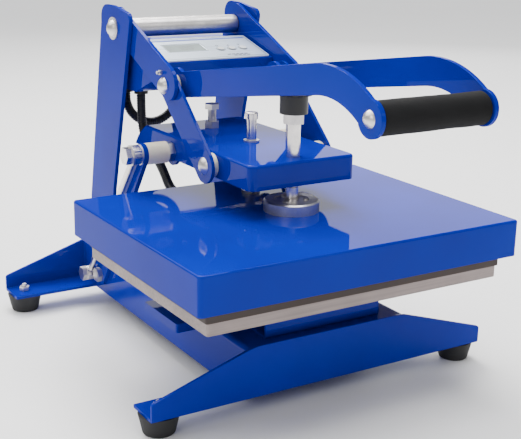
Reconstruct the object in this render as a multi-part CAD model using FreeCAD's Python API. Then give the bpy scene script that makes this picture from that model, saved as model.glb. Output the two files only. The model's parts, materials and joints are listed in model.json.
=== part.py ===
import FreeCAD, Part
import math
import os

# Clamshell heat press for garment transfers, closed on its lower table.
# Millimetres. Z is up, the operator stands on the -Y side, and X runs across the press.
# The origin is on the bench, midway between the four rubber feet.

# ---- driving dimensions: platens ----
platen_width = 380.0
platen_depth = 290.0
platen_thickness = 18.0
platen_y = -138.0
table_width = 368.0
table_depth = 280.0
table_thickness = 13.5
pad_overhang = 2.0
pad_thickness = 9.0
cover_width = 400.0
cover_depth = 308.0
cover_height = 41.0
cover_wall = 1.5
cover_lift = 3.5
insulation_thickness = 12.0
pillar_radius = 7.0
pillar_bolt_radius = 3.0
element_radius = 4.0
element_runs = 4
element_pitch = 62.0
element_reach = 160.0
sensor_x = 90.0
sensor_offset = 15.5

# ---- driving dimensions: frame ----
frame_depth = 450.0
foot_length = 435.0
foot_end_height = 21.0
foot_mid_height = 59.0
foot_flat_length = 195.0
flange_width = 44.0
frame_sheet = 4.0
rubber_height = 22.0
rubber_top_radius = 22.0
rubber_bottom_radius = 17.0
rubber_inset_x = 18.5
channel_width = 210.0
channel_height = 57.0
riser_height = 49.0
riser_width = 150.0
riser_depth = 30.0
riser_wall = 3.0
riser_spacing = 112.0
cross_width = 300.0
cross_height = 10.0
cross_front = 10.0
table_screw_radius = 4.0
foot_screw_radius = 3.0

# ---- driving dimensions: widths of the linkage, from the tray outwards ----
tray_width = 138.0
spacer_width = 7.7
link_thickness = 4.0
crank_thickness = 5.0
upright_thickness = 5.0
plate_gap = 0.8
leg_thickness = 6.0
tie_eye_thickness = 10.0
arm_thickness = 5.0
knee_sleeve_width = 7.7

# ---- driving dimensions: linkage in the side view (y, z) ----
crank_length = 137.5
link_length = 117.6
rear_pin_y = 22.0
link_pin_y = -80.0
top_pin_y = 134.0
top_pin_height = 296.0
upright_head = 28.0

# ---- driving dimensions: tray, screw, cup, pins ----
tray_height = 28.0
tray_sheet = 4.0
tray_front_reach = 25.0
tray_rear_y = 94.0
tray_tail = 31.0
cup_radius = 31.5
cup_height = 13.0
recess_radius = 20.0
recess_depth = 8.0
screw_radius = 8.25
stem_radius = 7.5
stem_flange = 12.5
collar_width = 22.0
collar_rise = 37.0
knob_hub_radius = 15.7
knob_radius = 22.0
screw_gap = 21.0
guide_radius = 6.0
guide_offset = 89.0
guide_rise = 35.0
stop_offset = 185.0

# ---- driving dimensions: handle ----
grip_y = -363.0
grip_height = 342.0
grip_radius = 16.5
core_radius = 12.0
arm_width = 30.0
arm_slope = 9.0
arm_bend_radius = 110.0
crank_radius = 19.5
crank_rise = 7.5
crank_toe = 8.0

# ---- driving dimensions: control box ----
box_width = 160.0
box_front_y = 36.0
box_break_y = 98.0
box_rear_y = 174.0
box_bottom_z = 300.0
box_front_z = 342.0
box_wall = 1.5
panel_slope = 15.0
panel_length = 74.0
panel_thickness = 2.0
display_x = -24.0
display_y = 40.0
display_width = 52.0
display_depth = 22.0
button_radius = 4.5
button_y = 30.0
button_places = {"set_button": 22.0, "up_button": 38.0, "down_button": 54.0}
inlet_x = -40.0
inlet_z = 325.0
switch_x = 38.0
rocker_depth = 6.0

# ---- driving dimensions: conduits ----
conduit_radius = 6.5
gland_x = -56.0
gland_rise = 27.0
gland_length = 9.0
box_gland_y = 134.0
loop_y = 158.0
loop_glands = (-66.0, 8.0)

# ---- clearances ----
side_gap = 0.3
running = 0.05
hole_gap = 0.3
rest_gap = 0.3

# ---- pin and bolt sizes ----
top_axle_radius = 8.0
knee_radius = 8.0
rear_axle_radius = 7.0
link_bolt_radius = 6.0
tie_bolt_radius = 5.0
grip_bolt_radius = 5.0
lock_nut_length = 8.0

# ---- heights and places that follow ----
base_z = rubber_height
channel_top = base_z + channel_height
table_bottom = channel_top + riser_height
table_top = table_bottom + table_thickness
pad_top = table_top + pad_thickness
platen_bottom = pad_top + rest_gap
platen_top = platen_bottom + platen_thickness
cover_bottom = platen_bottom + cover_lift
cover_top = cover_bottom + cover_height
insulation_bottom = platen_top + 0.2
cup_top = cover_top + cup_height
tray_bottom = cup_top + screw_gap
tray_top = tray_bottom + tray_height
rear_pin = (rear_pin_y, tray_bottom + 9.0)
link_pin = (link_pin_y, tray_bottom + 13.0)
top_pin = (top_pin_y, channel_top + top_pin_height)
upright_top = top_pin[1] + upright_head
tray_front_y = platen_y - tray_front_reach
screw_y = platen_y
guide_y = screw_y + guide_offset
stop_y = screw_y + stop_offset
sensor_y = platen_y + sensor_offset
gland_z = cover_bottom + gland_rise
guide_top = tray_top + guide_rise
collar_bottom = tray_top + collar_rise
collar_top = collar_bottom + 11.0
knob_bottom = collar_top
knob_hub_top = knob_bottom + 20.5
knob_top = knob_hub_top + 8.0
slope = math.radians(panel_slope)
panel_rear_y = box_front_y + panel_length * math.cos(slope)
panel_rear_z = box_front_z + panel_length * math.sin(slope)
box_shelf_z = top_pin[1] - 18.0

tray_half = tray_width / 2.0
link_inner = tray_half + side_gap + spacer_width
link_outer = link_inner + link_thickness
crank_inner = link_outer + plate_gap
crank_outer = crank_inner + crank_thickness
upright_inner = crank_outer + plate_gap
upright_outer = upright_inner + upright_thickness
arm_outer = link_inner - side_gap - knee_sleeve_width
arm_inner = arm_outer - arm_thickness
leg_inner = channel_width / 2.0
leg_outer = leg_inner + leg_thickness
washer_thickness = 1.5
eye_inner = leg_outer + washer_thickness
eye_outer = eye_inner + tie_eye_thickness
tie_centre = (eye_inner + eye_outer) / 2.0


# ---------------------------------------------------------------- shape helpers
def vec(x, y, z):
    return FreeCAD.Vector(x, y, z)


def block(x0, x1, y0, y1, z0, z1):
    return Part.makeBox(x1 - x0, y1 - y0, z1 - z0, vec(x0, y0, z0))


def rod_x(x0, x1, y, z, radius):
    return Part.makeCylinder(radius, x1 - x0, vec(x0, y, z), vec(1, 0, 0))


def rod_y(y0, y1, x, z, radius):
    return Part.makeCylinder(radius, y1 - y0, vec(x, y0, z), vec(0, 1, 0))


def rod_z(z0, z1, x, y, radius):
    return Part.makeCylinder(radius, z1 - z0, vec(x, y, z0), vec(0, 0, 1))


def prism_x(points, x0, x1):
    """Extrude a closed outline of (y, z) points along X."""
    corners = [vec(x0, y, z) for y, z in points]
    face = Part.Face(Part.makePolygon(corners + corners[:1]))
    return face.extrude(vec(x1 - x0, 0, 0))


def prism_y(points, y0, y1):
    """Extrude a closed outline of (x, z) points along Y."""
    corners = [vec(x, y0, z) for x, z in points]
    face = Part.Face(Part.makePolygon(corners + corners[:1]))
    return face.extrude(vec(0, y1 - y0, 0))


def fillet_where(shape, radius, chosen):
    """Round the straight edges that the test picks."""
    edges = [edge for edge in shape.Edges if len(edge.Vertexes) == 2 and chosen(edge)]
    return shape.makeFillet(radius, edges)


def along(edge, axis):
    start = edge.Vertexes[0].Point
    end = edge.Vertexes[1].Point
    direction = (end - start).normalize()
    return abs(abs(direction.dot(axis)) - 1.0) < 1e-6


def upright_edges(edge):
    return along(edge, vec(0, 0, 1))


def across_edges(edge):
    return along(edge, vec(1, 0, 0))


def hexagon_z(z0, z1, x, y, flats):
    """Hexagonal prism with the given width over its flats, standing on Z."""
    radius = flats / math.sqrt(3.0)
    corners = []
    for step in range(6):
        angle = math.radians(60.0 * step)
        corners.append(vec(x + radius * math.cos(angle), y + radius * math.sin(angle), z0))
    face = Part.Face(Part.makePolygon(corners + corners[:1]))
    return face.extrude(vec(0, 0, z1 - z0))


def hexagon_x(x0, x1, y, z, flats):
    """Hexagonal prism with the given width over its flats, lying along X."""
    radius = flats / math.sqrt(3.0)
    corners = []
    for step in range(6):
        angle = math.radians(60.0 * step)
        corners.append(vec(x0, y + radius * math.cos(angle), z + radius * math.sin(angle)))
    face = Part.Face(Part.makePolygon(corners + corners[:1]))
    return face.extrude(vec(x1 - x0, 0, 0))


def domed_head(face_x, side, y, z, radius, height):
    """Button head that sits on the plane x = face_x and bulges outwards."""
    sphere_radius = (radius * radius + height * height) / (2.0 * height)
    centre = face_x + side * (height - sphere_radius)
    ball = Part.makeSphere(sphere_radius, vec(centre, y, z))
    start = min(face_x, face_x + side * (height + 1.0))
    return ball.common(rod_x(start, start + height + 1.0, y, z, radius + 1.0))


def stadium(first, second, radius, x0, x1):
    """Plate with two round ends about two (y, z) centres."""
    dy = second[0] - first[0]
    dz = second[1] - first[1]
    length = math.hypot(dy, dz)
    ny = -dz / length * radius
    nz = dy / length * radius
    outline = [
        (first[0] + ny, first[1] + nz),
        (second[0] + ny, second[1] + nz),
        (second[0] - ny, second[1] - nz),
        (first[0] - ny, first[1] - nz),
    ]
    plate = prism_x(outline, x0, x1)
    for y, z in (first, second):
        plate = plate.fuse(rod_x(x0, x1, y, z, radius))
    return plate.removeSplitter()


def both_sides(maker):
    """The same piece on the left (-1) and on the right (+1)."""
    return Part.Compound([maker(side) for side in (-1, 1)])


def span(side, inner, outer):
    """X limits of something between two distances from the middle, on one side."""
    return (side * inner, side * outer) if side > 0 else (-outer, -inner)


def save(name, shape):
    shape.exportStep("parts/" + name + ".step")


def knee_pin():
    """Where the crank and the links meet, in front of and above the straight line."""
    dy = link_pin[0] - top_pin[0]
    dz = link_pin[1] - top_pin[1]
    distance = math.hypot(dy, dz)
    reach = (crank_length ** 2 - link_length ** 2 + distance ** 2) / (2.0 * distance)
    rise = math.sqrt(crank_length ** 2 - reach ** 2)
    uy = dy / distance
    uz = dz / distance
    return (top_pin[0] + uy * reach + uz * rise, top_pin[1] + uz * reach - uy * rise)


knee = knee_pin()


# ---------------------------------------------------------------- frame
def rubber_centres():
    x = foot_length / 2.0 - rubber_inset_x
    y = frame_depth / 2.0 - flange_width / 2.0
    return [(sx * x, sy * y) for sx in (-1, 1) for sy in (-1, 1)]


def foot(side):
    """Pressed foot: a web shaped like a low roof, with a flange turned inwards."""
    outer = side * frame_depth / 2.0
    inner = outer - side * frame_sheet
    half = foot_length / 2.0
    flat = foot_flat_length / 2.0
    outline = [
        (-half, base_z),
        (-half, base_z + foot_end_height),
        (-flat, base_z + foot_mid_height),
        (flat, base_z + foot_mid_height),
        (half, base_z + foot_end_height),
        (half, base_z),
    ]
    web = prism_y(outline, min(outer, inner), max(outer, inner))
    crest = [e for e in web.Edges if abs(abs(e.CenterOfMass.x) - flat) < 1.0 and along(e, vec(0, 1, 0))]
    web = web.makeFillet(70.0, crest)
    ends = [e for e in web.Edges if abs(abs(e.CenterOfMass.x) - half) < 0.1
            and abs(e.CenterOfMass.z - base_z - foot_end_height) < 0.1 and along(e, vec(0, 1, 0))]
    web = web.makeFillet(4.0, ends)
    edge = outer - side * flange_width
    flange = block(-half, half, min(outer, edge), max(outer, edge), base_z, base_z + frame_sheet)
    body = web.fuse(flange).removeSplitter()
    bend = [e for e in body.Edges if abs(e.CenterOfMass.y - outer) < 0.01
            and abs(e.CenterOfMass.z - base_z) < 0.01 and along(e, vec(1, 0, 0))]
    body = body.makeFillet(3.0, bend)
    for x, y in rubber_centres():
        hole = rod_z(base_z - 1.0, base_z + frame_sheet + 1.0, x, y, foot_screw_radius + hole_gap)
        body = body.cut(hole)
    return body


def base_channel():
    """Inverted channel between the two feet that carries table and uprights."""
    half = channel_width / 2.0
    end = frame_depth / 2.0 - frame_sheet
    outside = block(-half, half, -end, end, base_z, channel_top)
    outside = fillet_where(outside, 6.0, lambda e: along(e, vec(0, 1, 0))
                           and e.CenterOfMass.z > channel_top - 0.1)
    inside = block(-half + frame_sheet, half - frame_sheet, -end - 1, end + 1,
                   base_z - 1, channel_top - frame_sheet)
    inside = fillet_where(inside, 3.0, lambda e: along(e, vec(0, 1, 0))
                          and e.CenterOfMass.z > channel_top - frame_sheet - 0.1)
    body = outside.cut(inside)
    for side in (-1, 1):
        outer = side * (frame_depth / 2.0 + 1.0)
        edge = side * (frame_depth / 2.0 - flange_width)
        notch = block(-half - 1, half + 1, min(outer, edge), max(outer, edge),
                      base_z - 1, base_z + frame_sheet)
        body = body.cut(notch)
    for x, y in table_screw_places():
        hole = rod_z(channel_top - frame_sheet - 1, channel_top + 1, x, y, table_screw_radius + hole_gap)
        body = body.cut(hole)
    for y, z in leg_bolt_places():
        body = body.cut(rod_x(-half - 1, half + 1, y, z, tie_bolt_radius + hole_gap))
    return body


def rubber_foot(x, y):
    body = Part.makeCone(rubber_bottom_radius, rubber_top_radius, rubber_height, vec(x, y, 0))
    lower = [e for e in body.Edges if abs(e.CenterOfMass.z) < 0.01 and len(e.Vertexes) == 1]
    body = body.makeFillet(3.0, lower)
    body = body.cut(rod_z(-1, 8.0 + hole_gap, x, y, 6.5))
    return body.cut(rod_z(0, rubber_height + 1, x, y, foot_screw_radius + hole_gap))


def foot_screw(x, y):
    shank = rod_z(8.0, base_z + frame_sheet + 9.0, x, y, foot_screw_radius)
    return shank.fuse(rod_z(3.5, 8.0, x, y, 5.5)).cut(hexagon_z(3.0, 6.0, x, y, 5.0))


def foot_nut(x, y):
    """Nut on the flange above each rubber foot."""
    nut = hexagon_z(base_z + frame_sheet, base_z + frame_sheet + 5.5, x, y, 12.0)
    return nut.cut(rod_z(base_z, base_z + 20.0, x, y, foot_screw_radius))


def upright(side):
    """Side cheek of the tower, leaning forward towards the top pivot."""
    rear = frame_depth / 2.0 - frame_sheet
    y, z = top_pin
    outline = [
        (rear, channel_top),
        (rear, channel_top + 61.0),
        (y + 38.0, z + 5.0),
        (y + 38.0, upright_top),
        (y, upright_top),
        (y - 50.0, upright_top - 7.0),
        (y + 11.0, channel_top + 85.0),
        (y + 18.0, channel_top),
    ]
    x0, x1 = span(side, upright_inner, upright_outer)
    body = prism_x(outline, x0, x1)
    rear_top = [e for e in body.Edges if across_edges(e) and abs(e.CenterOfMass.y - y - 38.0) < 0.1
                and e.CenterOfMass.z > upright_top - 0.1]
    body = body.makeFillet(17.0, rear_top)
    front_top = [e for e in body.Edges if across_edges(e) and abs(e.CenterOfMass.y - y + 50.0) < 0.1]
    body = body.makeFillet(9.0, front_top)
    return body.cut(rod_x(x0 - 1, x1 + 1, y, z, top_axle_radius + hole_gap))


def upright_brace():
    """Cross plate that ties the two uprights together behind the control box."""
    body = block(-upright_inner, upright_inner, box_rear_y, box_rear_y + frame_sheet, box_bottom_z - 12.0,
                 box_bottom_z + 46.0)
    body = body.cut(inlet_cut(box_rear_y - 1, box_rear_y + frame_sheet + 1))
    return body.cut(switch_cut(box_rear_y - 1, box_rear_y + frame_sheet + 1))


def top_axle():
    y, z = top_pin
    body = rod_x(-upright_outer - washer_thickness, upright_outer + washer_thickness, y, z, top_axle_radius)
    for side in (-1, 1):
        face = side * (upright_outer + washer_thickness)
        body = body.fuse(domed_head(face, side, y, z, 10.5, 7.0))
    return body


def top_washers():
    y, z = top_pin

    def washer(side):
        x0, x1 = span(side, upright_outer, upright_outer + washer_thickness)
        return rod_x(x0, x1, y, z, 14.0).cut(rod_x(x0 - 1, x1 + 1, y, z, top_axle_radius))

    return both_sides(washer)


def top_spacer_tube():
    """Zinc plated tube on the top axle that holds the two crank plates apart."""
    y, z = top_pin
    half = crank_inner - side_gap - 1.0
    return rod_x(-half, half, y, z, 12.0).cut(rod_x(-half - 1, half + 1, y, z, top_axle_radius + hole_gap))


def leg_bolt_places():
    """Two bolts that hold each support leg to the side of the channel."""
    return [(rear_pin[0] + 153.0, base_z + 24.0), (rear_pin[0] + 131.0, base_z + 27.0)]


def leg(side):
    """Support leg from the side of the channel up to the rear axle."""
    x0, x1 = span(side, leg_inner, leg_outer)
    lower = leg_bolt_places()[1]
    body = stadium(rear_pin, lower, 13.0, x0, x1)
    body = body.fuse(stadium(lower, leg_bolt_places()[0], 13.0, x0, x1)).removeSplitter()
    body = body.cut(rod_x(x0 - 1, x1 + 1, rear_pin[0], rear_pin[1], rear_axle_radius + hole_gap))
    for y, z in leg_bolt_places():
        body = body.cut(rod_x(x0 - 1, x1 + 1, y, z, tie_bolt_radius + hole_gap))
    return body


def rear_axle():
    """Fixed axle that the rocker tray turns on, from leg to leg."""
    y, z = rear_pin
    body = rod_x(-eye_outer - washer_thickness, eye_outer + washer_thickness, y, z, rear_axle_radius)
    for side in (-1, 1):
        x0, x1 = span(side, eye_outer + washer_thickness, eye_outer + washer_thickness + 8.0)
        body = body.fuse(hexagon_x(x0, x1, y, z, 19.0))
    return body


def axle_washers():
    y, z = rear_pin
    rings = []
    for side in (-1, 1):
        for inner in (leg_outer, eye_outer):
            x0, x1 = span(side, inner, inner + washer_thickness)
            rings.append(rod_x(x0, x1, y, z, 12.5).cut(rod_x(x0 - 1, x1 + 1, y, z, rear_axle_radius)))
    return Part.Compound(rings)


def rear_spacer(side):
    """Nylon sleeve on the rear axle between a lock nut and a leg."""
    y, z = rear_pin
    x0, x1 = span(side, tray_half + side_gap + lock_nut_length, leg_inner)
    body = rod_x(x0, x1, y, z, 13.0)
    return body.cut(rod_x(x0 - 1, x1 + 1, y, z, rear_axle_radius))


def rear_lock_nuts():
    """Nuts on the rear axle, one beside each cheek of the tray."""
    y, z = rear_pin

    def nut(side):
        x0, x1 = span(side, tray_half + side_gap, tray_half + side_gap + lock_nut_length)
        return hexagon_x(x0, x1, y, z, 22.0).cut(rod_x(x0 - 1, x1 + 1, y, z, rear_axle_radius))

    return both_sides(nut)


def tie_rod(side):
    """Bright tie rod beside each leg, with an eye on the axle and one on the frame bolt."""
    upper = rear_pin
    lower = leg_bolt_places()[0]
    x0, x1 = span(side, eye_inner, eye_outer)
    centre = side * tie_centre
    dy = lower[0] - upper[0]
    dz = lower[1] - upper[1]
    length = math.hypot(dy, dz)
    start = vec(centre, upper[0], upper[1])
    bar = Part.makeCylinder(4.0, length, start, vec(0, dy, dz))
    body = bar.fuse(rod_x(x0, x1, upper[0], upper[1], 12.0))
    body = body.fuse(rod_x(x0, x1, lower[0], lower[1], 10.0))
    body = body.cut(rod_x(x0 - 1, x1 + 1, upper[0], upper[1], rear_axle_radius + hole_gap))
    return body.cut(rod_x(x0 - 1, x1 + 1, lower[0], lower[1], tie_bolt_radius + hole_gap))


def leg_bolts():
    """Bolts through legs and channel sides; the rear ones also hold the tie rods."""
    solids = []
    for side in (-1, 1):
        for index, (y, z) in enumerate(leg_bolt_places()):
            seat = eye_outer if index == 0 else leg_outer
            inside = leg_inner - frame_sheet
            x0, x1 = span(side, inside - 9.0, seat)
            bolt = rod_x(x0, x1, y, z, tie_bolt_radius)
            h0, h1 = span(side, seat, seat + 6.5)
            bolt = bolt.fuse(hexagon_x(h0, h1, y, z, 17.0))
            n0, n1 = span(side, inside - 7.0, inside)
            solids.append(bolt.fuse(hexagon_x(n0, n1, y, z, 17.0)))
    return Part.Compound(solids)


# ---------------------------------------------------------------- lower table
def table_screw_places():
    x = riser_width / 2.0 - 20.0
    rows = [platen_y - riser_spacing / 2.0, platen_y + riser_spacing / 2.0]
    return [(sx * x, y) for sx in (-1, 1) for y in rows]


def table_riser(row):
    """Rectangular tube across the channel; the rear one stands on the wide cross member."""
    y = platen_y + row * riser_spacing / 2.0
    half = riser_width / 2.0
    bottom = channel_top + (cross_height if row > 0 else 0.0)
    outer = block(-half, half, y - riser_depth / 2.0, y + riser_depth / 2.0, bottom, table_bottom)
    outer = fillet_where(outer, 3.0, across_edges)
    inner = block(-half - 1, half + 1, y - riser_depth / 2.0 + riser_wall, y + riser_depth / 2.0 - riser_wall,
                  bottom + riser_wall, table_bottom - riser_wall)
    body = outer.cut(inner)
    for x, place in table_screw_places():
        hole = rod_z(channel_top - 1, table_bottom + 1, x, place, table_screw_radius + hole_gap)
        body = body.cut(hole)
    return body


def table_cross_member():
    """Shallow folded member on the channel that reaches out under the table on both sides."""
    half = cross_width / 2.0
    front = platen_y - cross_front
    rear = platen_y + riser_spacing / 2.0 + riser_depth / 2.0
    top = channel_top + cross_height
    outer = fillet_where(block(-half, half, front, rear, channel_top, top), 3.0, upright_edges)
    inner = block(-half + riser_wall, half - riser_wall, front + riser_wall, rear - riser_wall,
                  channel_top - 1, top - riser_wall)
    body = outer.cut(inner)
    for x, y in table_screw_places():
        body = body.cut(rod_z(channel_top - 1, top + 1, x, y, table_screw_radius + hole_gap))
    return body


def lower_table():
    half = table_width / 2.0
    depth = table_depth / 2.0
    body = block(-half, half, platen_y - depth, platen_y + depth, table_bottom, table_top)
    body = fillet_where(body, 3.0, upright_edges)
    for x, y in table_screw_places():
        body = body.cut(rod_z(table_bottom - 1, table_bottom + 9.0, x, y, table_screw_radius))
    return body


def table_screws():
    solids = []
    for x, y in table_screw_places():
        shank = rod_z(channel_top - frame_sheet - 1, table_bottom + 8.5, x, y, table_screw_radius)
        head = hexagon_z(channel_top - frame_sheet - 6.0, channel_top - frame_sheet, x, y, 13.0)
        solids.append(shank.fuse(head))
    return Part.Compound(solids)


def silicone_pad():
    width = table_width / 2.0 + pad_overhang
    depth = table_depth / 2.0 + pad_overhang
    body = block(-width, width, platen_y - depth, platen_y + depth, table_top, pad_top)
    return fillet_where(body, 3.0, upright_edges)


# ---------------------------------------------------------------- heating platen
def pillar_places():
    x = platen_width / 2.0 - 45.0
    y = platen_depth / 2.0 - 16.0
    return [(sx * x, platen_y + sy * y) for sx in (-1, 1) for sy in (-1, 1)]


def element_path():
    """Serpentine run of the heating element, bends joined to straights."""
    z = platen_top - element_radius - 1.0
    bend = element_pitch / 2.0
    reach = element_reach - bend
    first = platen_y - element_pitch * (element_runs - 1) / 2.0
    edges = []
    direction = 1
    for run in range(element_runs):
        y = first + run * element_pitch
        start = vec(-direction * reach, y, z)
        end = vec(direction * reach, y, z)
        edges.append(Part.makeLine(start, end))
        if run < element_runs - 1:
            top = vec(direction * reach, y + element_pitch, z)
            middle = vec(direction * (reach + bend), y + bend, z)
            edges.append(Part.Arc(end, middle, top).toShape())
        direction = -direction
    return Part.Wire(edges)


def element_body(radius):
    path = element_path()
    start = path.Edges[0].Vertexes[0].Point
    profile = Part.Wire([Part.makeCircle(radius, start, vec(1, 0, 0))])
    return path.makePipeShell([profile], True, False)


def heating_element():
    return element_body(element_radius)


def heat_platen():
    """Cast plate; the groove for the element follows the element's own path."""
    body = block(-platen_width / 2.0, platen_width / 2.0, platen_y - platen_depth / 2.0,
                 platen_y + platen_depth / 2.0, platen_bottom, platen_top)
    body = fillet_where(body, 4.0, upright_edges)
    body = body.cut(element_body(element_radius + 0.2))
    for x, y in pillar_places():
        body = body.cut(rod_z(platen_top - 10.0, platen_top + 1, x, y, pillar_bolt_radius))
    return body


def insulation_board():
    half = platen_width / 2.0 - 2.0
    depth = platen_depth / 2.0 - 2.0
    body = block(-half, half, platen_y - depth, platen_y + depth,
                 insulation_bottom, insulation_bottom + insulation_thickness)
    for x, y in pillar_places():
        body = body.cut(rod_z(insulation_bottom - 1, cover_top, x, y, pillar_radius + 0.5))
    body = body.cut(rod_z(insulation_bottom - 1, cover_top, 0, platen_y, cup_radius - 4.5))
    return body.cut(rod_z(insulation_bottom - 1, cover_top, sensor_x, sensor_y, 12.0))


def platen_pillars():
    """Stand-offs and the centre boss that carry the pressing force to the platen."""
    under = cover_top - cover_wall
    solids = []
    for x, y in pillar_places():
        pillar = rod_z(platen_top, under, x, y, pillar_radius)
        solids.append(pillar.fuse(rod_z(platen_top - 9.5, platen_top, x, y, pillar_bolt_radius)))
    solids.append(rod_z(platen_top, under, 0, platen_y, cup_radius - 5.0))
    return Part.Compound(solids)


def platen_cover():
    """Painted sheet cover, open below, that hides the platen's edge."""
    hw = cover_width / 2.0
    hd = cover_depth / 2.0
    outer = block(-hw, hw, platen_y - hd, platen_y + hd, cover_bottom, cover_top)
    outer = fillet_where(outer, 5.0, upright_edges)
    rim = [e for e in outer.Edges if abs(e.CenterOfMass.z - cover_top) < 0.01]
    outer = outer.makeFillet(2.5, rim)
    inner = block(-hw + cover_wall, hw - cover_wall, platen_y - hd + cover_wall, platen_y + hd - cover_wall,
                  cover_bottom - 1, cover_top - cover_wall)
    inner = fillet_where(inner, 3.5, upright_edges)
    body = outer.cut(inner)
    return body.cut(rod_y(platen_y + hd - 5, platen_y + hd + 1, gland_x, gland_z, conduit_radius - 1.0))


def thermostat():
    """Thermostat can on top of the platen."""
    can = rod_z(platen_top, platen_top + 9.0, sensor_x, sensor_y, 9.0)
    return can.fuse(rod_z(platen_top + 9.0, platen_top + 12.0, sensor_x, sensor_y, 5.0))


def swivel_cup():
    """Round cup on the cover that the foot of the screw turns in."""
    body = rod_z(cover_top, cup_top, 0, screw_y, cup_radius)
    rim = [e for e in body.Edges if abs(e.CenterOfMass.z - cup_top) < 0.01 and len(e.Vertexes) == 1]
    body = body.makeChamfer(1.5, rim)
    return body.cut(rod_z(cup_top - recess_depth, cup_top + 1, 0, screw_y, recess_radius))


def cup_retainer():
    """Ring screwed into the recess that keeps the screw's foot in the cup."""
    bottom = cup_top - recess_depth
    ring = rod_z(bottom, cup_top - 1.5, 0, screw_y, recess_radius)
    ring = ring.cut(rod_z(bottom - 1, bottom + 4.0, 0, screw_y, stem_flange + hole_gap))
    return ring.cut(rod_z(bottom - 1, cup_top, 0, screw_y, stem_radius + hole_gap))


def cup_screws():
    solids = []
    for step in range(3):
        angle = math.radians(90.0 + 120.0 * step)
        x = 16.3 * math.cos(angle)
        y = screw_y + 16.3 * math.sin(angle)
        head = rod_z(cup_top - 1.5, cup_top + 0.3, x, y, 2.8)
        solids.append(head.cut(hexagon_z(cup_top - 0.8, cup_top + 1.0, x, y, 2.5)))
    return Part.Compound(solids)


def guide_pin():
    """Bright pin that stops the platen from turning under the screw."""
    body = rod_z(cover_top, guide_top - 8.0, 0, guide_y, guide_radius)
    head = rod_z(guide_top - 8.0, guide_top, 0, guide_y, 7.5)
    rim = [e for e in head.Edges if abs(e.CenterOfMass.z - guide_top) < 0.01 and len(e.Vertexes) == 1]
    head = head.makeFillet(1.5, rim)
    return body.fuse(head).fuse(rod_z(cover_top, cover_top + 4.0, 0, guide_y, 11.0))


def platen_gland():
    """Gland where the conduit enters the cover."""
    rear = platen_y + cover_depth / 2.0
    body = rod_y(rear, rear + gland_length, gland_x, gland_z, conduit_radius + 2.5)
    body = body.fuse(rod_y(rear - 5.0, rear, gland_x, gland_z, conduit_radius - 1.0))
    return body.cut(rod_y(rear - 6.0, rear, gland_x, gland_z, conduit_radius - 2.5))


# ---------------------------------------------------------------- pressure screw
def pressure_screw():
    """Screw column with a thinner stem and a foot that turns in the cup."""
    bottom = cup_top - recess_depth + 0.3
    shoulder = cup_top + 14.0
    body = rod_z(bottom, bottom + 3.4, 0, screw_y, stem_flange)
    body = body.fuse(rod_z(bottom, shoulder, 0, screw_y, stem_radius))
    column = rod_z(shoulder, knob_hub_top - 3.0, 0, screw_y, screw_radius)
    lower = [e for e in column.Edges if abs(e.CenterOfMass.z - shoulder) < 0.01 and len(e.Vertexes) == 1]
    return body.fuse(column.makeChamfer(1.5, lower))


def screw_collar():
    """Hexagon lock nut under the knob."""
    body = hexagon_z(collar_bottom, collar_top, 0, screw_y, collar_width)
    return body.cut(rod_z(collar_bottom - 1, collar_top + 1, 0, screw_y, screw_radius))


def pressure_knob():
    hub = rod_z(knob_bottom, knob_hub_top, 0, screw_y, knob_hub_radius)
    rim = rod_z(knob_hub_top, knob_top, 0, screw_y, knob_radius)
    edges = [e for e in rim.Edges if len(e.Vertexes) == 1]
    rim = rim.makeFillet(2.5, edges)
    body = hub.fuse(rim)
    for step in range(12):
        angle = math.radians(30.0 * step)
        x = (knob_radius + 2.5) * math.cos(angle)
        y = screw_y + (knob_radius + 2.5) * math.sin(angle)
        body = body.cut(rod_z(knob_hub_top - 1, knob_top + 1, x, y, 4.0))
    return body.cut(rod_z(knob_bottom - 1, knob_hub_top - 3.0, 0, screw_y, screw_radius))


# ---------------------------------------------------------------- rocker tray
def side_outline():
    """Side view of the tray: level top, sloping tail."""
    return [
        (tray_front_y, tray_bottom),
        (tray_front_y, tray_top),
        (tray_rear_y, tray_top),
        (tray_rear_y + 0.7 * tray_tail, tray_top - 0.57 * tray_height),
        (tray_rear_y + tray_tail, tray_bottom),
    ]


def rocker_tray():
    """Folded tray, open below, that carries screw, guide and stop."""
    outer = prism_x(side_outline(), -tray_half, tray_half)
    front = [e for e in outer.Edges if upright_edges(e) and abs(e.CenterOfMass.y - tray_front_y) < 0.1]
    outer = outer.makeFillet(9.0, front)
    rim = [e for e in outer.Edges if abs(e.CenterOfMass.z - tray_top) < 0.01
           and e.CenterOfMass.y < tray_rear_y - 0.5]
    outer = outer.makeFillet(3.0, rim)
    hollow = block(-tray_half + tray_sheet, tray_half - tray_sheet, tray_front_y + tray_sheet,
                   tray_rear_y + tray_tail + 1, tray_bottom - 1, tray_top - tray_sheet)
    front = [e for e in hollow.Edges if upright_edges(e)
             and e.CenterOfMass.y < tray_front_y + tray_sheet + 0.1]
    hollow = hollow.makeFillet(5.0, front)
    body = outer.cut(hollow)
    y, z = rear_pin
    for side in (-1, 1):
        x0, x1 = span(side, tray_half - tray_sheet, tray_half)
        body = body.fuse(rod_x(x0, x1, y, z, 17.0))
    body = body.cut(rod_x(-tray_half - 1, tray_half + 1, y, z, 10.0))
    body = body.cut(rod_z(tray_bottom, tray_top + 1, 0, screw_y, screw_radius + 0.3))
    body = body.cut(rod_z(tray_bottom, tray_top + 1, 0, guide_y, 8.0))
    return body.cut(rod_z(tray_bottom, tray_top + 1, 0, stop_y, 5.0))


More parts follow.
